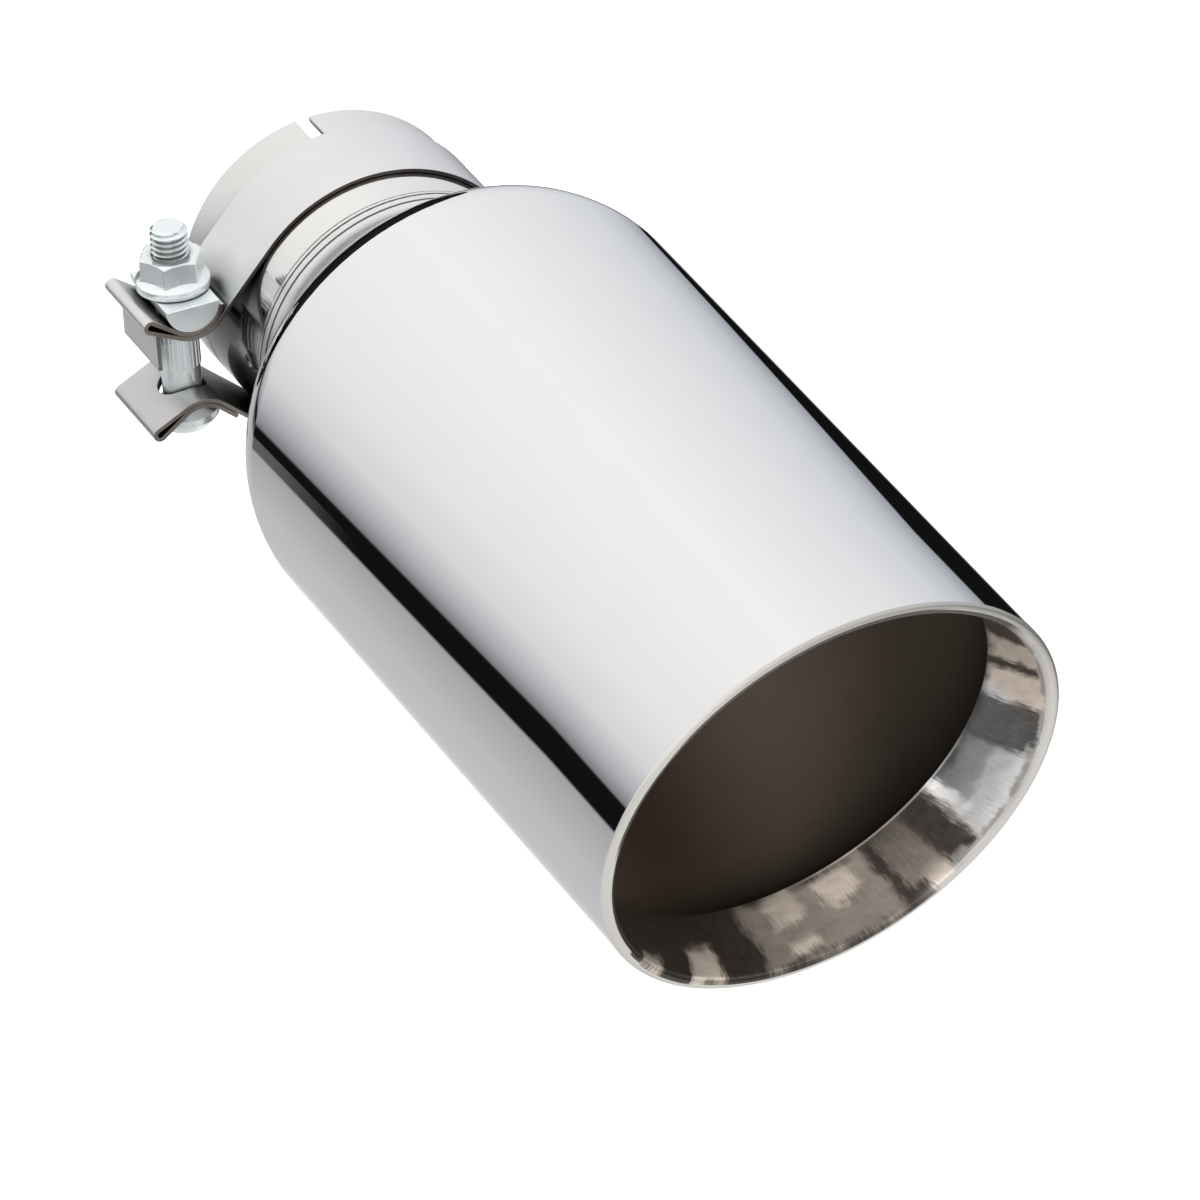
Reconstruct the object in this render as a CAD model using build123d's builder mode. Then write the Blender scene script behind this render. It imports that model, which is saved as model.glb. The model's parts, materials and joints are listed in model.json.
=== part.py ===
from build123d import *
import os
from math import acos, asin, atan2, cos, degrees, hypot, radians, sin, sqrt, tan

# Exhaust tip: a polished shell with a slant mouth, welded to a slotted inlet neck,
# with a flat band clamp that squeezes the neck onto a tailpipe.
# X runs along the tip from the inlet to the mouth, Z is up, the origin is the middle of the inlet end.

# Shell: one sheet, spun in at the rear, cut on a slant and turned in at the mouth
sheet = 1.2
shell_diameter = 101.6
collar_start = 44.0
collar_length = 6.2
shoulder_angle = 34.0
shoulder_bend = 15.7
root_bend = 8.6
tube_length = 174.3

# Mouth: the slant puts the longest side on top
mouth_slant = 22.0
rim_thickness = 3.0
outer_rim_round = 1.2
inner_rim_round = 1.5
rim_steps = 4
lip_depth = 24.6
lip_inset = 4.3

# Inlet neck, slotted from its rear end so that it can be squeezed
neck_diameter = 64.0
neck_length = 60.0
neck_fit = 0.05
slot_length = 26.0
slot_width = 3.0
slot_turn = -8.3

# Weld bead between the neck and the shell's collar
weld_leg = 3.5
weld_crown = 0.5

# Clamp: one strap round the neck, turned about the tip's axis
clamp_turn = -13.3
band_start = 9.9
band_width = 21.2
strap = 0.9
band_fit = 0.05
layer_gap = 0.12
bolt_offset = 9.75
upper_cradle = 13.8
lower_cradle = 16.3
flap_slope = 26.0
flap_length = 7.5
hem_bend = 1.1
upper_return_end = 11.0
lower_return_run = 4.5
bolt_slot_length = 10.4
bolt_slot_width = 9.4
tab_reach = 7.3
tab_width = 18.6
tab_end = -0.6

# Half-moon spacer in the upper cradle
moon_radius = 5.9
moon_fit = 0.1
moon_rear = 9.4
moon_front = 10.6
moon_bore = 8.7

# Bolt: round head with a conical seat under the lower ear, splined part between the ears, threaded end
thread_diameter = 8.0
thread_chamfer = 0.8
bolt_end = 27.7
shank_diameter = 8.3
spline_diameter = 8.75
spline_start = -4.4
spline_end = 7.0
spline_teeth = 24
spline_depth = 0.35
head_diameter = 14.4
head_edge = 1.5
head_dome = 4.0
dome_steps = 6

# Flange nut
nut_fit = 0.05
nut_seat_gap = 0.05
nut_flats = 12.0
nut_height = 7.5
flange_diameter = 15.6
flange_edge = 1.8
flange_height = 2.7
nut_corner_turn = 26.0
nut_chamfer_angle = 30.0

shell_radius = shell_diameter / 2
neck_radius = neck_diameter / 2
collar_inner = neck_radius + neck_fit
collar_outer = collar_inner + sheet
slant_cosine = cos(radians(mouth_slant))


def slant_plane(x):
    """Plane across the tip at x on the axis, leaning like the mouth: its top lies furthest forward."""
    lean = radians(mouth_slant)
    return Plane(origin=(x, 0, 0), x_dir=(0, 1, 0), z_dir=(cos(lean), 0, -sin(lean)))


def slant_loft(sections):
    """Solid between slant sections of round tubes, each given as (x on the axis, radius)."""
    with BuildPart() as solid:
        for x, radius in sections:
            with BuildSketch(slant_plane(x)):
                Ellipse(radius, radius / slant_cosine)
        loft(ruled=True)
    return solid.part


def rim_sections(radius, bend, side):
    """Slant sections round one edge of the rim, which leaves the wall's radius to the given side."""
    sections = []
    for step in range(rim_steps + 1):
        turn = radians(90 * step / rim_steps)
        sections.append((mouth_x - bend + bend * sin(turn), radius + side * bend * (1 - cos(turn))))
    return sections


# Shell
tube_middle = shell_radius - sheet / 2
collar_middle = collar_outer - sheet / 2
root_x = collar_start + collar_length
knee_x = root_x + (tube_middle - collar_middle) / tan(radians(shoulder_angle))
mouth_x = knee_x + tube_length
past_mouth = mouth_x + shell_diameter

lip_x = mouth_x - lip_depth
lip_radius = shell_radius - lip_inset
rim_inner = shell_radius - rim_thickness
lip_slope = (rim_inner - lip_radius) / (lip_depth - inner_rim_round)
overshoot = 2 * rim_thickness
rim_x = mouth_x - outer_rim_round
turned_in = slant_loft([(lip_x, lip_radius + sheet), (rim_x, tube_middle)])
rim_nose = slant_loft(rim_sections(shell_radius, outer_rim_round, -1))
lip_start = (lip_x - overshoot, lip_radius - overshoot * lip_slope)
past_rim = (mouth_x + overshoot, rim_inner + inner_rim_round)
opening = slant_loft([lip_start, *rim_sections(rim_inner, inner_rim_round, 1), past_rim])

with BuildPart() as shell:
    with BuildSketch(Plane.XZ):
        with BuildLine():
            FilletPolyline(
                (collar_start, collar_middle),
                (root_x, collar_middle),
                (knee_x, tube_middle),
                (past_mouth, tube_middle),
                radius=[root_bend, shoulder_bend],
            )
        trace(line_width=sheet)
    revolve(axis=Axis.X)
    split(bisect_by=slant_plane(rim_x), keep=Keep.BOTTOM)
    add(turned_in - opening)
    add(rim_nose - opening)
shell.part.label = "shell"

# Inlet neck
with BuildPart() as inlet_neck:
    with BuildSketch(Plane.YZ):
        Circle(neck_radius)
        Circle(neck_radius - sheet, mode=Mode.SUBTRACT)
    extrude(amount=neck_length)
    slot_lean = radians(slot_turn)
    with BuildSketch(Plane(origin=(0, 0, 0), x_dir=(1, 0, 0), z_dir=(0, -sin(slot_lean), cos(slot_lean)))):
        SlotOverall(2 * slot_length, slot_width)
    extrude(amount=neck_diameter, both=True, mode=Mode.SUBTRACT)
inlet_neck.part.label = "inlet_neck"

# Weld bead
with BuildPart() as neck_weld:
    with BuildSketch(Plane.XZ):
        with BuildLine():
            toe = (collar_start - weld_leg, neck_radius)
            corner = (collar_start, neck_radius)
            crest = (collar_start, collar_outer)
            crown = (collar_start - weld_leg / 2, (neck_radius + collar_outer) / 2 + weld_crown)
            Polyline(toe, corner, crest, crown, close=True)
        make_face()
    revolve(axis=Axis.X)
neck_weld.part.label = "neck_weld"

# Clamp frame: the strap's profile lies across the tip, and the bolt stands on the profile's vertical
lean = radians(clamp_turn)
across = Vector(0, cos(lean), sin(lean))
upward = Vector(0, -sin(lean), cos(lean))
band_middle = band_start + band_width / 2
bolt_reach = neck_radius + bolt_offset
bolt_foot = Vector(band_middle, 0, 0) - across * bolt_reach
bolt_axis = Axis(bolt_foot, upward)
bolt_plane = Plane(origin=bolt_foot, x_dir=(1, 0, 0), z_dir=upward)
bolt_section = Plane(origin=bolt_foot, x_dir=(1, 0, 0), z_dir=-across)


def profile_plane(x):
    """Plane across the tip at x, with its own x and y along the clamp's width and the bolt."""
    return Plane(origin=(x, 0, 0), x_dir=across, z_dir=(1, 0, 0))


# Strap, as one bent line: round the neck, straight to the cradle, out along the flap,
# over the hem and back inside the cradle, the same way above and below
ring_bend = neck_radius + band_fit + strap / 2
inner_bend = moon_radius + moon_fit + strap / 2
outer_bend = inner_bend + strap + layer_gap
hem_drop = outer_bend - hem_bend
hem_distance = hypot(flap_length, hem_drop)
hem_taper = degrees(atan2(flap_length, hem_drop) - acos((hem_bend + inner_bend) / hem_distance))
back_length = sqrt(hem_distance**2 - (hem_bend + inner_bend) ** 2)
return_start = 90 + flap_slope + hem_taper


def strap_leave(height):
    """Turn round the ring at which the strap leaves it for a cradle, and its straight length up to there."""
    distance = hypot(bolt_reach, height)
    direction = 180 - degrees(atan2(height, bolt_reach))
    leave_angle = direction - degrees(acos((ring_bend + outer_bend) / distance))
    return leave_angle, sqrt(distance**2 - (ring_bend + outer_bend) ** 2)


lower_return_end = 180 - strap_leave(lower_cradle)[0]
ears = ((1, upper_cradle, upper_return_end), (-1, lower_cradle, lower_return_end))

with BuildPart() as clamp_band:
    with BuildSketch(profile_plane(band_start)):
        with BuildLine():
            for side, height, return_end in ears:
                leave_angle, straight_length = strap_leave(height)
                cradle_turn = leave_angle + flap_slope - 90
                ring = JernArc((ring_bend, 0), (0, side), ring_bend, side * leave_angle)
                straight = PolarLine(ring @ 1, straight_length, direction=ring % 1)
                cradle = JernArc(straight @ 1, straight % 1, outer_bend, -side * cradle_turn)
                flap = PolarLine(cradle @ 1, flap_length, direction=cradle % 1)
                hem = JernArc(flap @ 1, flap % 1, hem_bend, -side * (180 + hem_taper))
                back = PolarLine(hem @ 1, back_length, direction=hem % 1)
                inside = JernArc(back @ 1, back % 1, inner_bend, side * (return_start - return_end))
            PolarLine(inside @ 1, lower_return_run, direction=inside % 1)
        trace(line_width=strap)
    extrude(amount=band_width)
    # Tab turned down from the upper flap, which keeps the ears apart
    tab_top = upper_cradle - outer_bend * cos(radians(flap_slope)) + (
        tab_reach - outer_bend * sin(radians(flap_slope))
    ) * tan(radians(flap_slope))
    with BuildSketch(profile_plane(band_start)):
        with Locations((-bolt_reach - tab_reach, tab_end)):
            Rectangle(strap, tab_top - tab_end, align=(Align.CENTER, Align.MIN))
    extrude(amount=tab_width)
    with BuildSketch(bolt_plane):
        SlotOverall(bolt_slot_length, bolt_slot_width, rotation=90)
    extrude(amount=2 * lower_cradle, both=True, mode=Mode.SUBTRACT)
clamp_band.part.label = "clamp_band"

# Half-moon spacer
with BuildPart() as half_moon_spacer:
    with BuildSketch(profile_plane(band_middle - moon_rear)):
        with BuildLine():
            moon = CenterArc((-bolt_reach, upper_cradle), moon_radius, 180, 180)
            Line(moon @ 1, moon @ 0)
        make_face()
    extrude(amount=moon_rear + moon_front)
    with BuildSketch(bolt_plane):
        Circle(moon_bore / 2)
    extrude(amount=2 * upper_cradle, mode=Mode.SUBTRACT)
half_moon_spacer.part.label = "half_moon_spacer"

# Bolt: the head's conical seat lies along the lower ear's inner layer
head_radius = head_diameter / 2
seat_slope = radians(90 - lower_return_end)


def seat_height(radius):
    """Height of the head's conical seat at a radius from the bolt's axis."""
    return (moon_radius - radius * sin(seat_slope)) / cos(seat_slope) - lower_cradle


rim_bottom = seat_height(head_radius) - head_edge
dome_bend = (head_radius**2 + head_dome**2) / (2 * head_dome)
dome_turn = asin(head_radius / dome_bend)
dome = []
for step in range(dome_steps + 1):
    turn = dome_turn * step / dome_steps
    dome.append((dome_bend * sin(turn), rim_bottom - head_dome + dome_bend * (1 - cos(turn))))
with BuildPart() as clamp_bolt:
    with BuildSketch(bolt_section):
        with BuildLine():
            Polyline(
                *dome,
                (head_radius, seat_height(head_radius)),
                (shank_diameter / 2, seat_height(shank_diameter / 2)),
                (shank_diameter / 2, spline_end),
                (thread_diameter / 2, spline_end),
                (thread_diameter / 2, bolt_end - thread_chamfer),
                (thread_diameter / 2 - thread_chamfer, bolt_end),
                (0, bolt_end),
                close=True,
            )
        make_face()
    revolve(axis=bolt_axis)
    with BuildSketch(bolt_plane.offset(spline_start)):
        Circle(spline_diameter / 2)
        with PolarLocations(spline_diameter / 2, spline_teeth):
            RegularPolygon(spline_depth, 4, mode=Mode.SUBTRACT)
    extrude(amount=spline_end - spline_start)
clamp_bolt.part.label = "clamp_bolt"

# Flange nut
nut_seat = upper_cradle + nut_seat_gap
nut_corner = nut_flats / 2 / cos(radians(30))
corner_drop = (nut_corner - nut_flats / 2) * tan(radians(nut_chamfer_angle))
with BuildPart() as flange_nut:
    with BuildSketch(bolt_plane.offset(nut_seat)):
        RegularPolygon(nut_corner, 6, rotation=nut_corner_turn)
    extrude(amount=nut_height)
    with BuildSketch(bolt_section):
        with BuildLine():
            Polyline(
                (0, nut_seat),
                (nut_corner, nut_seat),
                (nut_corner, nut_seat + nut_height - corner_drop),
                (nut_flats / 2, nut_seat + nut_height),
                (0, nut_seat + nut_height),
                close=True,
            )
        make_face()
    revolve(axis=bolt_axis, mode=Mode.INTERSECT)
    with BuildSketch(bolt_section):
        with BuildLine():
            Polyline(
                (0, nut_seat),
                (flange_diameter / 2, nut_seat),
                (flange_diameter / 2, nut_seat + flange_edge),
                (nut_flats / 2, nut_seat + flange_height),
                (0, nut_seat + flange_height),
                close=True,
            )
        make_face()
    revolve(axis=bolt_axis)
    with BuildSketch(bolt_plane):
        Circle(thread_diameter / 2 + nut_fit)
    extrude(amount=2 * bolt_end, mode=Mode.SUBTRACT)
flange_nut.part.label = "flange_nut"

os.makedirs("parts", exist_ok=True)
export_step(shell.part, "parts/shell.step")
export_step(inlet_neck.part, "parts/inlet_neck.step")
export_step(neck_weld.part, "parts/neck_weld.step")
export_step(clamp_band.part, "parts/clamp_band.step")
export_step(half_moon_spacer.part, "parts/half_moon_spacer.step")
export_step(clamp_bolt.part, "parts/clamp_bolt.step")
export_step(flange_nut.part, "parts/flange_nut.step")
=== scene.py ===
# %% [markdown]
# # A polished exhaust tip
#
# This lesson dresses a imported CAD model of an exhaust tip: a mirror-polished shell with a slant mouth,
# welded to a slotted neck, and a band clamp with its bolt, spacer and nut. The CAD solids give the sizes.
# The scene adds the finishes, the small forms that are too fine for the solids, the studio and the camera.

# %% Load the frame
import json
from math import pi, radians, tan

import bpy
from mathutils import Matrix, Vector


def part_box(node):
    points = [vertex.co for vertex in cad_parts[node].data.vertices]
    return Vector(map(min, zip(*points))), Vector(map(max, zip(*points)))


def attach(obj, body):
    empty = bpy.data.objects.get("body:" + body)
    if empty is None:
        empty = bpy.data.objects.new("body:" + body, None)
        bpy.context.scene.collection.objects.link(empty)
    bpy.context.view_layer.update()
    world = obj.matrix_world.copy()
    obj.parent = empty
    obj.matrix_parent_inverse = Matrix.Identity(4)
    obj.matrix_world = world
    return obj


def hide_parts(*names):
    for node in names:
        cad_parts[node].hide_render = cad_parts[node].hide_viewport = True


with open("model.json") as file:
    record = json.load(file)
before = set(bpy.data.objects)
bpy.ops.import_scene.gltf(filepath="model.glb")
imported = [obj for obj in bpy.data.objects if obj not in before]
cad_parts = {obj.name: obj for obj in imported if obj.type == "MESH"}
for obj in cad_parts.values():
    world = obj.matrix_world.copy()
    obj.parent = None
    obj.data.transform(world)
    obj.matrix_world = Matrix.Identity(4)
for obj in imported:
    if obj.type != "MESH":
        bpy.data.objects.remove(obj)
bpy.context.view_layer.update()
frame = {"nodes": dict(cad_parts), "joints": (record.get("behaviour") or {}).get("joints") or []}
nodes = frame["nodes"]
print("nodes:", sorted(nodes))

# %% [markdown]
# ## Sums on shader sockets
#
# A finish is a small sum of patterns. Written as nodes it is long, so one class wraps a socket: Python's
# own signs then add Math nodes, and one method adds any other node.

# %% Shader sums


def feed(node, socket, value):
    """Links a pattern to a node's socket, or sets a plain value on it."""
    if isinstance(value, Value):
        node.id_data.links.new(value.socket, node.inputs[socket])
    else:
        node.inputs[socket].default_value = value


def set_stops(elements, stops):
    """Gives a colour ramp its stops, each a place from 0 to 1 and a colour."""
    while len(elements) < len(stops):
        elements.new(1.0)
    for element, (place, colour) in zip(elements, stops):
        element.position = place
        element.color = (*colour, 1.0)


class Value:
    """A shader socket that takes part in Python sums."""

    def __init__(self, socket):
        self.socket = socket

    @staticmethod
    def make(tree, kind, settings=None, sockets=None, output=0):
        """Adds a node: its settings are set first, then its sockets get values or links."""
        node = tree.nodes.new("ShaderNode" + kind)
        for name, value in (settings or {}).items():
            if name == "stops":
                set_stops(node.color_ramp.elements, value)
            else:
                setattr(node, name, value)
        for name, value in (sockets or {}).items():
            feed(node, name, value)
        return Value(node.outputs[output])

    def math(self, operation, *others):
        """Adds a Math node."""
        sockets = dict(enumerate((self, *others)))
        return Value.make(self.socket.id_data, "Math", {"operation": operation}, sockets)

    def __add__(self, other):
        return self.math("ADD", other)

    def __sub__(self, other):
        return self.math("SUBTRACT", other)

    def __rsub__(self, other):
        return self.math("MULTIPLY_ADD", -1, other)

    def __mul__(self, other):
        return self.math("MULTIPLY", other)

    def __truediv__(self, other):
        return self.math("DIVIDE", other)

    __radd__ = __add__
    __rmul__ = __mul__

    def step(self, low, high):
        """0 below low, 1 above high, smooth between."""
        return Value.make(
            self.socket.id_data,
            "MapRange",
            {"interpolation_type": "SMOOTHSTEP"},
            {"Value": self, "From Min": low, "From Max": high},
        )

    def span(self, rise, fall):
        """1 between two steps and 0 outside. Rise and fall are the low and high end of each step."""
        return self.step(*rise) * (1 - self.step(*fall))


# %% [markdown]
# ## Places and patterns
#
# Real wear follows the part: it goes round the axis, along it, or into its corners. These helpers say where
# on the part a spot of the surface lies, and make the clouds and colours that the finishes are mixed from.

# %% Places and patterns


def new_material(name):
    """A material, its node tree and its shader."""
    material = bpy.data.materials.new(name)
    material.use_nodes = True
    return material, material.node_tree, material.node_tree.nodes["Principled BSDF"]


def place_of(tree):
    """Object coordinates."""
    return Value.make(tree, "TexCoord", output="Object")


def facing_of(tree):
    """The direction that a face looks in."""
    return Value.make(tree, "NewGeometry", output="Normal")


def parts_of(tree, whole):
    """The x, y and z of a place or direction."""
    return [Value.make(tree, "SeparateXYZ", sockets={0: whole}, output=part) for part in range(3)]


def turn_of(y, z):
    """Degrees round the tip's axis: 0 on the right, 90 on top, -90 below."""
    return z.math("ARCTAN2", y) * (180 / pi)


def reach_of(y, z):
    """Distance from the tip's axis."""
    return (y * y + z * z).math("SQRT")


def noise(tree, where, scale, detail=4.0, stretch=(1, 1, 1)):
    """Grey cloud pattern; stretch makes it finer or coarser along each axis."""
    spread = Value.make(tree, "Mapping", sockets={"Vector": where, "Scale": stretch})
    return Value.make(tree, "TexNoise", sockets={"Vector": spread, "Scale": scale, "Detail": detail})


def crevices(tree, reach):
    """1 on open faces, down to 0 in corners and gaps narrower than reach."""
    return Value.make(tree, "AmbientOcclusion", sockets={"Distance": reach}, output="AO")


def ramp(tree, place, stops):
    """Colour at a place from 0 to 1, by way of stops."""
    return Value.make(tree, "ValToRGB", {"stops": stops}, {"Fac": place})


def mixed(tree, share, first, second):
    """Colour between first and second."""
    return Value.make(tree, "Mix", {"data_type": "RGBA"}, {"Factor": share, 6: first, 7: second}, output=2)


def grey(tree, level):
    """Grey of a given level."""
    return Value.make(tree, "CombineColor", sockets={0: level, 1: level, 2: level})


def scaled(tree, colour, level):
    """Colour made lighter or darker by a level."""
    settings = {"data_type": "RGBA", "blend_type": "MULTIPLY"}
    return Value.make(tree, "Mix", settings, {"Factor": 1.0, 6: colour, 7: grey(tree, level)}, output=2)


# %% [markdown]
# ## The light tent
#
# Polished metal has hardly any colour of its own: what it shows is the room. A photographer puts such a
# part in a light tent. Lamps alone would give small glints, so a tube of cloth surrounds the tip, and the
# edges of its light and dark stretches become the long stripes on the shell. The tent hides from the
# camera, so that views from every side can look through it.

# %% Tent
tent_radius = 1.2
tent_ends = (-3.2, 0.9)


def stage_tube():
    """Open tube round the tip's axis."""
    bpy.ops.object.select_all(action="DESELECT")
    middle = (tent_ends[0] + tent_ends[1]) / 2
    bpy.ops.mesh.primitive_cylinder_add(
        vertices=256,
        radius=tent_radius,
        depth=tent_ends[1] - tent_ends[0],
        end_fill_type="NOTHING",
        location=(middle, 0, 0),
        rotation=(0, pi / 2, 0),
    )
    tube = bpy.context.object
    bpy.ops.object.transform_apply(location=True, rotation=True, scale=True)
    bpy.ops.object.shade_smooth()
    return tube


tent = stage_tube()
tent.name = "light_tent"
tent.visible_camera = False
print("tent", tent_radius, "m round the tip")

# %% [markdown]
# ## The tent's pattern
#
# The cloth glows by itself, which is easier to set than lamps outside it. Going round the axis from the
# seam under the tip there are a sheet of paper, a dark gap, the lit cloth over the top, another dark gap,
# and grey cloth that leads back to the seam. The edges lie aslant for a short way along the tent.

# %% Tent pattern
seam_turn = -87
paper_turn = -53
grey_end = 272
slant_place = -1.42
slant_reach = 0.13
paper_stops = (
    (0.0, (0.90, 0.90, 0.90)),
    (0.55, (0.80, 0.80, 0.80)),
    (0.78, (0.60, 0.60, 0.60)),
    (0.90, (0.20, 0.20, 0.20)),
    (0.97, (0.01, 0.01, 0.01)),
)
lit_stops = (
    (0.0, (0.34, 0.36, 0.40)),
    (0.06, (0.56, 0.58, 0.62)),
    (0.13, (0.71, 0.73, 0.76)),
    (0.25, (0.84, 0.85, 0.87)),
    (0.48, (0.99, 0.985, 0.98)),
    (0.62, (0.97, 0.96, 0.95)),
    (0.80, (0.885, 0.88, 0.88)),
    (0.90, (0.74, 0.74, 0.76)),
    (0.96, (0.46, 0.47, 0.49)),
    (1.0, (0.20, 0.21, 0.22)),
)
grey_stops = (
    (0.0, (0.40, 0.40, 0.41)),
    (0.12, (0.46, 0.46, 0.47)),
    (0.40, (0.55, 0.55, 0.56)),
    (0.85, (0.58, 0.58, 0.59)),
    (1.0, (0.70, 0.70, 0.70)),
)


def tent_glow(tree):
    """Colour of the cloth, by the turn round the tip's axis and a little by the place along it."""
    x, y, z = parts_of(tree, place_of(tree))
    turn = turn_of(y, z)
    # Counted on from the seam, the turn runs from -87 to 273 degrees
    turn = turn + 360 * (1 - turn.step(seam_turn - 0.05, seam_turn))
    along = Value.make(
        tree, "Clamp", sockets={"Value": x - slant_place, "Min": -slant_reach, "Max": slant_reach}
    )
    right_edge = along * 90 - 35.5
    left_edge = 187.5 - along * 50
    grey_edge = 200.5 - along * 42

    across_light = (turn - right_edge) / (left_edge - right_edge)
    lit_cloth = ramp(tree, across_light, lit_stops)
    grey_cloth = ramp(tree, (turn - grey_edge) / (grey_end - grey_edge), grey_stops)
    paper_side = ramp(tree, (turn - seam_turn) / (paper_turn - seam_turn), paper_stops)
    # The gaps are nearly black. The left one gets a little light towards the back
    dusk = 0.12 * (1 - along.step(-slant_reach, -0.03)) * turn.math("GREATER_THAN", left_edge + 6)
    dark_gap = grey(tree, dusk + 0.006)

    room = mixed(tree, (turn - grey_edge).step(-0.8, 1.2), dark_gap, grey_cloth)
    room = mixed(tree, (turn - paper_turn).step(-0.1, 0.1), paper_side, room)
    return mixed(tree, across_light.span((-0.004, 0.004), (0.996, 1.004)), room, lit_cloth)


# %% [markdown]
# ## Cloth and closed ends
#
# Through an open end the metal would mirror the white room. So a round cloth closes each end, a dim one
# behind the neck and a bright one in front of the mouth. Near the axis they are plain, since the pattern
# would run together there.

# %% Tent cloth
tent_strength = 1.0
back_strength = 0.015
front_strength = 0.75
plain_cloth = (0.66, 0.63, 0.60, 1)
plain_reach = (0.35, 0.60)


def hang_cloth(piece, strength):
    """Gives a part of the tent its glowing cloth."""
    cloth, tree, shader = new_material(piece.name + "_cloth")
    cloth.cycles.emission_sampling = "NONE"
    feed(shader, "Base Color", (0, 0, 0, 1))
    feed(shader, "Specular IOR Level", 0.0)
    _, y, z = parts_of(tree, place_of(tree))
    patterned = reach_of(y, z).step(*plain_reach)
    feed(shader, "Emission Color", mixed(tree, patterned, plain_cloth, tent_glow(tree)))
    feed(shader, "Emission Strength", strength)
    piece.data.materials.append(cloth)


def tent_end(name, x, strength):
    """Round cloth that closes one end of the tent. It lets the lamp's light through."""
    bpy.ops.object.select_all(action="DESELECT")
    bpy.ops.mesh.primitive_circle_add(
        vertices=128, radius=tent_radius, fill_type="NGON", location=(x, 0, 0), rotation=(0, pi / 2, 0)
    )
    cover = bpy.context.object
    cover.name = name
    bpy.ops.object.transform_apply(location=True, rotation=True, scale=True)
    cover.visible_camera = False
    cover.visible_shadow = False
    hang_cloth(cover, strength)


hang_cloth(tent, tent_strength)
tent_end("tent_back", tent_ends[0], back_strength)
tent_end("tent_front", tent_ends[1], front_strength)
print("tent closed at", tent_ends)

# %% [markdown]
# ## Floor and room
#
# The tip is shown before plain white. A floor and a room that glow only to the camera and in mirrors give
# that backdrop without washing out the inside of the tube.

# %% Floor and room
floor_height = -1.4
floor_size = 14


def seen_directly(tree):
    """1 for rays from the camera, and for those that it gets by way of metal or glass."""
    camera_ray, mirror_ray, through_ray = (
        Value.make(tree, "LightPath", output=name)
        for name in ("Is Camera Ray", "Is Glossy Ray", "Is Transmission Ray")
    )
    return (camera_ray + mirror_ray + through_ray).step(0, 1)


bpy.ops.object.select_all(action="DESELECT")
bpy.ops.mesh.primitive_plane_add(size=floor_size, location=(0, 0, floor_height))
floor = bpy.context.object
floor.name = "pale_floor"
bpy.ops.object.transform_apply(location=True, rotation=True, scale=True)
paper, tree, shader = new_material("pale_paper")
feed(shader, "Base Color", (0.85, 0.85, 0.85, 1))
feed(shader, "Roughness", 0.9)
feed(shader, "Emission Color", mixed(tree, seen_directly(tree), (0, 0, 0, 1), (1, 1, 1, 1)))
feed(shader, "Emission Strength", 1.0)
# Views from under the floor look through it
feed(shader, "Alpha", 1 - Value.make(tree, "NewGeometry", output="Backfacing"))
floor.data.materials.append(paper)

world = bpy.data.worlds.new("pale_room")
bpy.context.scene.world = world
world.use_nodes = True
backdrop = world.node_tree.nodes["Background"]
feed(backdrop, "Color", (1, 1, 1, 1))
feed(backdrop, "Strength", seen_directly(world.node_tree))
bpy.context.scene.view_settings.view_transform = "Standard"
print("floor at", floor_height)

# %% [markdown]
# ## The camera
#
# The camera stands off the mouth, above and to the left, with a long lens, so that the tube hardly tapers.

# %% Camera
camera_right = Vector((0.40773, 0.87187, -0.27128))
camera_up = Vector((-0.44499, 0.44916, 0.77475))
camera_back = Vector((0.79733, -0.19517, 0.57112))
camera_place = Vector((2.3761, -0.5510, 1.5902))
lens = bpy.data.cameras.new("view")
lens.sensor_width = 36
lens.lens = 420.08
lens.clip_end = 60
camera = bpy.data.objects.new("view", lens)
bpy.context.scene.collection.objects.link(camera)
camera_turn = Matrix((camera_right, camera_up, camera_back)).transposed()
camera.matrix_world = Matrix.Translation(camera_place) @ camera_turn.to_4x4()
bpy.context.scene.camera = camera
print("camera at", [round(value, 3) for value in camera_place])

# %% [markdown]
# ## Copies of the solids
#
# Some pieces get small forms that are too fine for the solids. Each starts from a copy of its CAD node. The
# copy's mesh is loose triangles, so it is merged first, which lets cuts and bevels run across it.

# %% Copies and cuts
same_place = 1e-6


def edit_whole_mesh():
    """Edit mode on the active mesh, with all of it selected."""
    bpy.ops.object.mode_set(mode="EDIT")
    bpy.ops.mesh.select_all(action="SELECT")


def copy_of(node):
    """Copy of a CAD node's mesh with its seams merged, as the active object."""
    piece = bpy.data.objects.new(node + "_dressed", nodes[node].data.copy())
    bpy.context.scene.collection.objects.link(piece)
    bpy.ops.object.select_all(action="DESELECT")
    piece.select_set(True)
    bpy.context.view_layer.objects.active = piece
    bpy.ops.mesh.customdata_custom_splitnormals_clear()
    edit_whole_mesh()
    bpy.ops.mesh.remove_doubles(threshold=same_place)
    bpy.ops.mesh.normals_make_consistent(inside=False)
    bpy.ops.object.mode_set(mode="OBJECT")
    return piece


def cut_level(place, direction):
    """Removes what the active mesh has beyond a plane and closes the cut."""
    edit_whole_mesh()
    bpy.ops.mesh.bisect(plane_co=place, plane_no=direction, clear_outer=True)
    bpy.ops.mesh.edge_face_add()
    bpy.ops.object.mode_set(mode="OBJECT")


# %% [markdown]
# ## Screw thread
#
# The bolt's free end has a screw thread, which shows in its outline, so a bump in the finish isn't enough.
# A short toothed outline is screwed up along the axis, cut level at both ends and clipped to the end's
# chamfer. It then takes the place of the CAD bolt's plain end.

# %% Screw thread
nut_turn = next(joint for joint in frame["joints"] if joint["name"] == "nut_turn")
bolt_foot = Vector(nut_turn["pos_m"])
bolt_axis = Vector(nut_turn["axis"])
thread_pitch = 0.00125
thread_crest = 0.00397
thread_depth = 0.00068
thread_start = 0.0085
thread_steps = 40
end_chamfer = 0.0008


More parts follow.
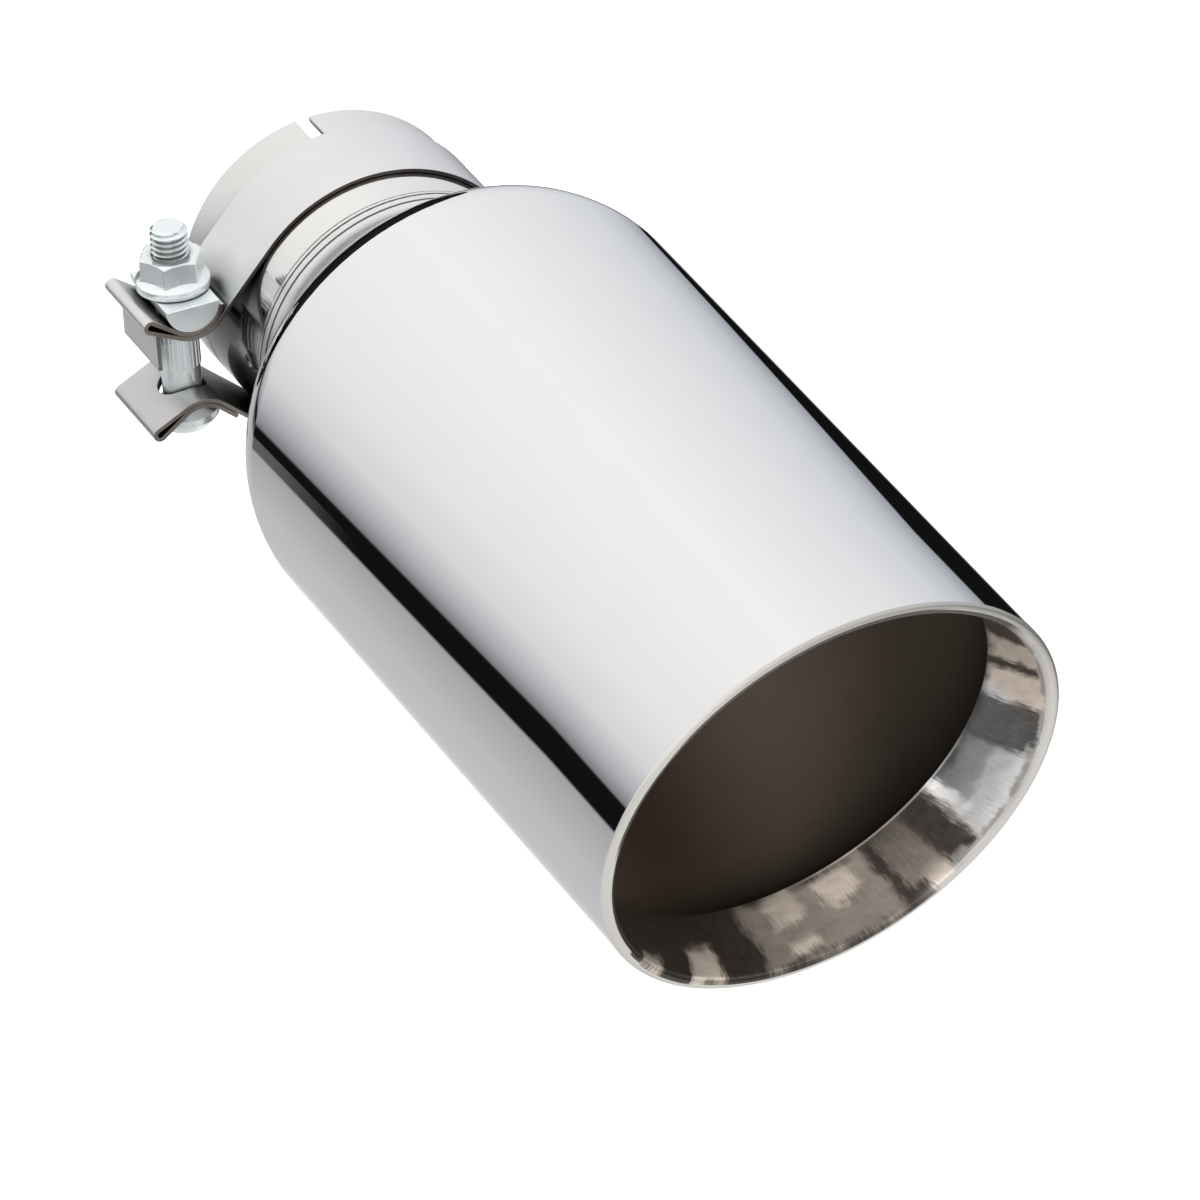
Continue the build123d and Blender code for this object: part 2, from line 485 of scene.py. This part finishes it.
def threaded_end(bottom, top):
    """Screw thread between two heights above the bolt's foot."""
    bpy.ops.object.select_all(action="DESELECT")
    bpy.ops.mesh.primitive_plane_add(size=thread_pitch)
    rod = bpy.context.object
    # A single point, drawn out to the outline of one tooth
    edit_whole_mesh()
    bpy.ops.mesh.merge(type="CENTER")
    bpy.ops.transform.translate(value=(thread_crest - thread_depth, 0, bottom - 2 * thread_pitch))
    flank = 5 / 16 * thread_pitch
    flat = thread_pitch / 8
    for outward, upward in ((0, flat), (thread_depth, flank), (0, flat), (-thread_depth, flank), (0, flat)):
        bpy.ops.mesh.extrude_vertices_move(TRANSFORM_OT_translate={"value": (outward, 0, upward)})
    bpy.ops.object.mode_set(mode="OBJECT")
    screw = rod.modifiers.new("thread", "SCREW")
    screw.axis = "Z"
    screw.screw_offset = thread_pitch
    screw.iterations = int((top - bottom) / thread_pitch) + 4
    screw.steps = screw.render_steps = thread_steps
    screw.use_merge_vertices = True
    screw.merge_threshold = same_place
    bpy.ops.object.modifier_apply(modifier=screw.name)
    cut_level((0, 0, bottom), (0, 0, -1))
    cut_level((0, 0, top), (0, 0, 1))
    for vertex in rod.data.vertices:
        limit = thread_crest - max(0, vertex.co.z - (top - end_chamfer))
        reach = vertex.co.xy.length
        if reach > limit:
            vertex.co.xy = vertex.co.xy * (limit / reach)
    turned = Vector((0, 0, 1)).rotation_difference(bolt_axis).to_matrix().to_4x4()
    rod.matrix_world = Matrix.Translation(bolt_foot) @ turned
    bpy.ops.object.transform_apply(location=True, rotation=True, scale=True)
    return rod


bolt_top = max((vertex.co - bolt_foot).dot(bolt_axis) for vertex in nodes["clamp_bolt"].data.vertices)
bolt = copy_of("clamp_bolt")
cut_level(bolt_foot + bolt_axis * thread_start, bolt_axis)
rod = threaded_end(thread_start - thread_pitch / 4, bolt_top)
for piece in (rod, bolt):
    piece.select_set(True)
bpy.context.view_layer.objects.active = bolt
bpy.ops.object.join()
edit_whole_mesh()
bpy.ops.mesh.normals_make_consistent(inside=False)
bpy.ops.object.mode_set(mode="OBJECT")
bpy.ops.object.shade_smooth_by_angle(angle=radians(32))
print("thread from", thread_start, "to", round(bolt_top, 4), "m above the bolt's foot")

# %% [markdown]
# ## Dulled edges
#
# The nut, the spacer and the band have the slightly dulled edges of pressed and turned metal. A knife edge
# never catches the light, so their sharp edges get a narrow bevel. On the nut only the upright corners and
# the flange's rim are dulled.

# %% Dulled edges
hardware_edge = 0.00022
strap_edge = 0.00010
flange_edge_radius = 0.0075


def dulled(node, width, wanted):
    """Copy of a CAD node with those of its sharp edges rounded off a little that are wanted."""
    piece = copy_of(node)
    mesh = piece.data
    bpy.ops.object.mode_set(mode="EDIT")
    bpy.ops.mesh.select_mode(type="EDGE")
    bpy.ops.mesh.select_all(action="SELECT")
    bpy.ops.mesh.dissolve_limited(angle_limit=radians(0.5))
    bpy.ops.mesh.select_all(action="DESELECT")
    bpy.ops.mesh.edges_select_sharp(sharpness=radians(40))
    bpy.ops.object.mode_set(mode="OBJECT")
    for edge in mesh.edges:
        first, second = (mesh.vertices[index].co for index in edge.vertices)
        edge.select = edge.select and wanted(first, second)
    bpy.ops.object.mode_set(mode="EDIT")
    bpy.ops.mesh.bevel(offset=width, segments=4, affect="EDGES", clamp_overlap=False)
    bpy.ops.object.mode_set(mode="OBJECT")
    bpy.ops.object.shade_smooth_by_angle(angle=radians(29))
    evened = piece.modifiers.new("evened", "WEIGHTED_NORMAL")
    evened.keep_sharp = True
    bpy.ops.object.modifier_apply(modifier=evened.name)
    return piece


def every_edge(first, second):
    """All sharp edges, wherever they lie."""
    return True


def corner_or_flange(first, second):
    """The nut's upright corners and the rim of its flange."""
    upright = abs((second - first).normalized().dot(bolt_axis)) > 0.99
    out = (first - bolt_foot) - bolt_axis * (first - bolt_foot).dot(bolt_axis)
    return upright or out.length > flange_edge_radius


dressed = {
    "clamp_bolt": bolt,
    "flange_nut": dulled("flange_nut", hardware_edge, corner_or_flange),
    "half_moon_spacer": dulled("half_moon_spacer", hardware_edge, every_edge),
    "clamp_band": dulled("clamp_band", strap_edge, every_edge),
}
print("dressed:", sorted(dressed))

# %% [markdown]
# ## Bodies and slots
#
# Each dressed piece replaces its CAD node, moves with that node's body and keeps its material slot. So the
# nut still turns on the bolt, and the spacer still rises with it.

# %% Bodies and slots
bodies = {"clamp_bolt": "tip", "flange_nut": "nut", "half_moon_spacer": "spacer", "clamp_band": "tip"}
for node, piece in dressed.items():
    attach(piece, bodies[node])
    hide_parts(node)
    print(piece.name, len(piece.data.polygons), "faces")

# %% [markdown]
# ## Lip and inside of the shell
#
# The lip behind the rim is hand-polished: it shows the inside of the tube in streaky patches that run from
# the rim inwards, some light and some dark. A true mirror there would show the scene's own plain inside, so
# the patches are painted on as reflections, from a short table. The inside was never polished, and less
# light gets into its corners, where shade is painted.

# %% Lip and inside
_, shell_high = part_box("shell")
slant_rise = tan(radians(22))
rim_ridge = 0.0496
mouth_centre = shell_high.x - rim_ridge * slant_rise
lip_depth = 0.0246
patch_blur = 1.6

# Painted reflections on the lip, as light patches: from and to, in degrees round the axis at the rim, then
# where each starts and ends, in mm behind the mouth, and how light it is there
painted_lip_patches = (
    (-157, -148, 0, 7, 0.95, 0.50),
    (-136, -126, 0, 13, 0.95, 0.75),
    (-112, -75, 1, 25, 0.24, 0.28),
    (-104, -97, 3, 9, 0.45, 0.30),
    (-104, -96, 14, 25, 0.32, 0.22),
    (-90, -80, 14, 25, 0.42, 0.26),
    (-67, -60, 0, 6, 0.80, 0.40),
    (-71, -60, 5, 25, 0.20, 0.06),
    (-50, -25, 0, 13, 0.66, 0.30),
    (-50, -25, 11, 25, 0.24, 0.10),
    (-48, -44, 9, 25, 0.10, 1.00),
    (-24, -9, 3, 25, 0.04, 0.06),
    (-9, 3, 0, 25, 0.54, 0.48),
    (7, 17, 0, 25, 0.46, 0.34),
)


def painted_lip_reflection(deep, wander, ragged, streaks):
    """Painted reflection on the lip: dark, with the light patches added, which blend over patch_blur
    degrees.
    """
    light = 0.03 + 0.05 * streaks
    for start, end, first, last, at_first, at_last in painted_lip_patches:
        width = wander.span((start - patch_blur, start + patch_blur), (end - patch_blur, end + patch_blur))
        length = ragged.span((first - 2.0, first + 1.5), (last - 4.0, last + 1.5))
        fade = (deep - first) / (last - first)
        light = light + width * length * (at_first + (at_last - at_first) * fade)
    return light


def hollow_light(x, y, z, depth):
    """Painted light and shade on the inside, by how deep and on which side it lies."""
    light = 0.42 + 0.5 * depth.step(0.028, 0.095) * (1 - 0.55 * depth.step(0.10, 0.18))
    light = light * (1.0 + 0.9 * (1 - y.step(-0.046, -0.010)))
    # Painted shade: less light gets to the right wall, and to the corner behind the lip
    rightward = 0.41 * x + 0.87 * y - 0.27 * z
    corner = 1 - depth.step(lip_depth, 0.045)
    return light * (1.75 - 1.33 * rightward.step(0.070, 0.120)) * (1 - 0.7 * corner)


print("mouth's centre at", round(mouth_centre, 4), "with", len(painted_lip_patches), "patches on the lip")

# %% [markdown]
# ## Polished shell
#
# The outside is a mirror, apart from the satin collar at its rear end. The rim is softer, from rolling and
# buffing, and the inside has a brown cast. The shell is one formed sheet, so one finish holds all of this,
# told apart by which way a face looks and how far it lies behind the mouth.

# %% Shell finish
collar_line = 0.0460
collar_end = (0.0500, 0.0530)


def shell_steel():
    """Mirror outside, rolled rim, lip with painted reflections, brown inside with painted shade, and satin
    collar.
    """
    material, tree, shader = new_material("polished_shell_steel")
    where = place_of(tree)
    x, y, z = parts_of(tree, where)
    _, normal_y, normal_z = parts_of(tree, facing_of(tree))
    clouds = noise(tree, where, 40.0, 3.0)
    turn = turn_of(y, z)
    depth = mouth_centre + z * slant_rise - x
    deep = depth * 1000

    # On the right the rim's colour runs a few mm into the lip. Elsewhere the lip's painted reflections
    # reach its crest
    overrun = turn.span((-75, -40), (15, 32))
    bottom = turn.span((-172, -150), (-75, -45))
    crest_shift = 0.028 * bottom - 0.004 * (1 - overrun)
    inward = 1 - (normal_y * y + normal_z * z - crest_shift).step(-0.012, -0.008)
    behind_lip = depth.step(lip_depth - 0.0001, lip_depth + 0.0001)
    raw = inward * behind_lip

    # The patches lean towards the lip's bottom as they run inwards, most on the right and at the far left
    leaning = (turn + 75) * 0.06
    leaning = leaning + (turn + 75).math("MAXIMUM", 0) * 0.15
    leaning = leaning + (turn + 115).math("MINIMUM", 0) * 0.33
    leant_turn = turn + leaning * (depth / lip_depth)
    unrolled = Value.make(tree, "CombineXYZ", sockets={0: leant_turn, 1: deep, 2: 0.0})
    streaks = noise(tree, unrolled, 1.0, 2.0, (1.3, 0.22, 1))
    swirls = noise(tree, unrolled, 1.0, 2.0, (0.12, 0.15, 1))
    spots = noise(tree, unrolled, 1.0, 2.0, (0.14, 0.18, 1))
    wander = leant_turn + 4 * (streaks - 0.5) + 4 * (swirls - 0.5)
    ragged = deep + 3 * (streaks - 0.5) + 9 * (swirls - 0.5)

    rim_inside = overrun * (1 - ragged.step(1.0, 4.0))
    rim_outside = 1 - (depth - 0.0035 * overrun).step(0.0011, 0.0015)
    rim = inward * rim_inside + (1 - inward) * rim_outside
    lip = inward * (1 - behind_lip) * (1 - rim)

    # Painted reflections on the lip, laid on from the table of patches
    light = painted_lip_reflection(deep, wander, ragged, streaks)
    light = light * (0.62 + 0.5 * spots + 0.3 * streaks) * (0.5 + 0.5 * deep.step(0.2, 1.6))
    # Painted highlight along the lip's cut edge
    painted_edge_highlight = inward * depth.step(lip_depth - 0.0009, lip_depth - 0.0004) * (1 - behind_lip)
    light = light + painted_edge_highlight * 0.3 * turn.span((-98, -84), (-46, -30))
    coolness = turn.span((-56, -48), (-20, -12))
    tint = mixed(tree, coolness, (1.0, 0.87, 0.75, 1), (0.97, 0.98, 1.0, 1))
    painted_reflection_colour = scaled(tree, tint, light * 1.6)

    brown = mixed(tree, clouds, (0.29, 0.235, 0.185, 1), (0.36, 0.285, 0.225, 1))
    # The inside's own brown, made darker or lighter by painted shade and light
    inside_brown_with_painted_shade = scaled(tree, brown, hollow_light(x, y, z, depth))

    outside = mixed(tree, clouds, (0.865, 0.865, 0.87, 1), (0.885, 0.88, 0.875, 1))
    # A fine dark line runs round the collar, in front of the weld
    off_line = (x - collar_line + 0.0006 * (clouds - 0.5)).math("ABSOLUTE")
    outside = mixed(tree, off_line.step(0.00015, 0.00050), (0.10, 0.09, 0.085, 1), outside)
    collar = 1 - x.step(*collar_end)

    rolled = mixed(tree, clouds, (0.76, 0.735, 0.69, 1), (0.84, 0.815, 0.77, 1))
    # Painted shade: the rim is darker from the right round over the top
    painted_shade_rim_side = turn.span((-10, 25), (80, 130))
    rolled = scaled(tree, rolled, 0.92 - 0.28 * painted_shade_rim_side)

    metal = mixed(tree, rim, mixed(tree, lip, outside, painted_reflection_colour), rolled)
    feed(shader, "Base Color", mixed(tree, raw, metal, inside_brown_with_painted_shade))
    feed(shader, "Metallic", 1 - 0.6 * raw - 0.75 * lip - 0.45 * rim)
    roughness = 0.02 + 0.015 * clouds + raw * 0.42 + lip * (0.22 + 0.12 * streaks)
    feed(shader, "Roughness", roughness + rim * 0.34 + collar * 0.38)
    waves = {"Strength": 0.25, "Distance": 0.0012, "Height": lip * swirls}
    feed(shader, "Normal", Value.make(tree, "Bump", sockets=waves))
    return material


finishes = {"shell": shell_steel()}
print("shell finish:", finishes["shell"].name)

# %% [markdown]
# ## Inlet neck
#
# The neck is bright tube in front and satin at its rear end. It is dark beside the clamp and where it meets
# the shoulder. A mirror alone would show little of that, so shade is painted into its colour in corners.

# %% Neck finish
neck_bore = (0.0311, 0.0315)
neck_satin = (0.010, 0.012)
neck_shade_reach = 0.022


def neck_steel():
    """Bright tube with a satin rear end, a brown bore and painted shade in corners."""
    material, tree, shader = new_material("neck_satin_steel")
    where = place_of(tree)
    x, y, z = parts_of(tree, where)
    turned = noise(tree, where, 400.0, 3.0, (6, 1, 1))
    clouds = noise(tree, where, 60.0)
    inside = 1 - reach_of(y, z).step(*neck_bore)
    rear = 1 - x.step(*neck_satin)
    plain = mixed(tree, clouds, (0.86, 0.85, 0.83, 1), (0.89, 0.885, 0.87, 1))
    # Painted shade beside the clamp and where the neck meets the shoulder
    open_face = crevices(tree, neck_shade_reach).step(0.45, 0.97)
    shaded = mixed(tree, open_face, (0.055, 0.047, 0.042, 1), plain)
    feed(shader, "Base Color", mixed(tree, inside, shaded, (0.16, 0.125, 0.10, 1)))
    feed(shader, "Metallic", 1 - 0.5 * inside)
    feed(shader, "Roughness", 0.06 + 0.04 * clouds + 0.25 * rear + 0.08 * rear * turned + 0.4 * inside)
    return material


finishes["inlet_neck"] = neck_steel()
print("neck finish:", finishes["inlet_neck"].name)

# %% [markdown]
# ## Weld
#
# The weld is dressed smooth, so it needs no beads of its own. Its two toes and its middle show as thin dark
# lines. They waver by a noise that goes round the axis only, so that each line keeps its width.

# %% Weld finish
weld_low, weld_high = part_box("neck_weld")
weld_middle = (weld_low.x + weld_high.x) / 2


def weld_metal():
    """Smooth bead with fine dark lines round it."""
    material, tree, shader = new_material("weld_bead_metal")
    where = place_of(tree)
    x, y, z = parts_of(tree, where)
    round_seam = Value.make(tree, "CombineXYZ", sockets={0: z.math("ARCTAN2", y) * 20, 1: 0.0, 2: 0.0})
    uneven = noise(tree, round_seam, 1.0, 3.0)
    wobble = 0.0006 * (uneven - 0.5)
    rear_toe = 1 - (x - weld_low.x + wobble).step(0.0003, 0.0007)
    front_toe = (x - weld_high.x + wobble * 0.5).step(-0.0007, -0.0004)
    middle = 1 - (x - weld_middle + wobble).math("ABSOLUTE").step(0.00015, 0.00035)
    lines = (rear_toe + front_toe + 0.8 * middle).step(0.0, 0.8)
    clouds = noise(tree, where, 120.0)
    bead = mixed(tree, clouds, (0.82, 0.80, 0.77, 1), (0.88, 0.875, 0.87, 1))
    feed(shader, "Base Color", mixed(tree, lines, bead, (0.07, 0.06, 0.055, 1)))
    feed(shader, "Metallic", 1 - 0.4 * lines)
    feed(shader, "Roughness", 0.12 + 0.10 * clouds + 0.3 * lines)
    ripples = {"Strength": 0.05, "Distance": 0.0003, "Height": uneven}
    feed(shader, "Normal", Value.make(tree, "Bump", sockets=ripples))
    return material


finishes["neck_weld"] = weld_metal()
print("weld finish:", finishes["neck_weld"].name, "round x", round(weld_middle, 4))

# %% [markdown]
# ## Clamp band
#
# The band is satin strip. Its sheared edges stay dark, more so round the neck than on the ears, and shade
# is painted on the lower ear and in gaps. The edges are found by their facing along the tip, so no face has
# to be picked by hand.

# %% Band finish
band_shade_reach = 0.007


def band_steel():
    """Satin strip with dark sheared edges."""
    material, tree, shader = new_material("band_satin_steel")
    where = place_of(tree)
    _, y, z = parts_of(tree, where)
    normal_x, _, _ = parts_of(tree, facing_of(tree))
    sheared = normal_x.math("ABSOLUTE").step(0.55, 0.85)
    grain = noise(tree, where, 250.0, 4.0, (14, 1, 1))
    clouds = noise(tree, where, 70.0)
    satin = mixed(tree, clouds, (0.84, 0.83, 0.835, 1), (0.90, 0.895, 0.895, 1))
    # Colours of the sheared edges: darker round the neck, paler on the ears
    darker_edge_tone = mixed(tree, clouds.step(0.35, 0.65), (0.15, 0.135, 0.125, 1), (0.24, 0.215, 0.195, 1))
    paler_edge_tone = mixed(tree, clouds.step(0.30, 0.70), (0.30, 0.26, 0.23, 1), (0.48, 0.43, 0.38, 1))
    edge = mixed(tree, y.step(-0.036, -0.032), paler_edge_tone, darker_edge_tone)
    ears = 1 - y.step(-0.040, -0.034)
    # Below the plane between the ears, which lies aslant
    lower_ear = ears * (1 - (0.23 * y + 0.973 * z).step(-0.001, 0.001))
    # Painted shade: darker in gaps and corners, a little on the ears and more on the lower ear
    shade = (0.2 + 0.8 * crevices(tree, band_shade_reach)) * (1 - 0.04 * ears - 0.22 * lower_ear)
    feed(shader, "Base Color", scaled(tree, mixed(tree, sheared, satin, edge), shade))
    feed(shader, "Metallic", 1.0)
    feed(shader, "Roughness", 0.26 + 0.14 * grain + 0.12 * sheared)
    scratches = {"Strength": 0.08, "Distance": 0.0003, "Height": grain}
    feed(shader, "Normal", Value.make(tree, "Bump", sockets=scratches))
    return material


finishes["clamp_band"] = band_steel()
print("band finish:", finishes["clamp_band"].name)

# %% [markdown]
# ## Zinc plate
#
# Bolt, nut and spacer have bright zinc plate with a faint blue cast. Shade is painted on it in narrow gaps.
# The three differ only in how wide such a gap may be, so one function makes all of them.

# %% Zinc finish
spacer_gap = 0.0011
screw_gap = 0.0030


def bright_zinc(name, gap):
    """Zinc plate with painted shade in corners and in spaces narrower than gap."""
    material, tree, shader = new_material(name)
    where = place_of(tree)
    clouds = noise(tree, where, 180.0)
    fine = noise(tree, where, 1500.0, 2.0)
    plate = mixed(tree, clouds, (0.865, 0.935, 0.95, 1), (0.935, 0.965, 0.97, 1))
    # Painted shade in corners and narrow gaps
    open_face = crevices(tree, gap).step(0.30, 0.85)
    feed(shader, "Base Color", scaled(tree, plate, 0.12 + 0.88 * open_face))
    feed(shader, "Metallic", 0.76)
    feed(shader, "Roughness", 0.13 + 0.12 * fine)
    grains = {"Strength": 0.06, "Distance": 0.0002, "Height": fine}
    feed(shader, "Normal", Value.make(tree, "Bump", sockets=grains))
    return material


finishes["half_moon_spacer"] = bright_zinc("zinc_spacer_plate", spacer_gap)
finishes["clamp_bolt"] = bright_zinc("zinc_bolt_plate", screw_gap)
finishes["flange_nut"] = bright_zinc("zinc_nut_plate", screw_gap)
print("finishes:", sorted(material.name for material in finishes.values()))

# %% [markdown]
# ## Putting the finishes on
#
# Every CAD node gets its finish, and so does the dressed piece that replaces it.

# %% Finishes on
for node, material in finishes.items():
    for piece in (nodes[node], dressed.get(node)):
        if piece:
            piece.data.materials.clear()
            piece.data.materials.append(material)
            print(piece.name, "in", material.name)

# %% [markdown]
# ## Front light
#
# A soft lamp beside the camera lights what isn't polished: the lip and the inside. Mirrors don't show it.

# %% Front light
lamp_place = Vector((2.2, -1.3, 1.0))
lamp_target = Vector((0.12, 0, 0))
lamp = bpy.data.lights.new("front_light", "AREA")
lamp.shape = "DISK"
lamp.size = 1.0
lamp.energy = 60
front_light = bpy.data.objects.new("front_light", lamp)
bpy.context.scene.collection.objects.link(front_light)
front_light.location = lamp_place
front_light.rotation_euler = (lamp_target - lamp_place).to_track_quat("-Z", "Y").to_euler()
front_light.visible_glossy = False
print("lamp of", lamp.energy, "W")
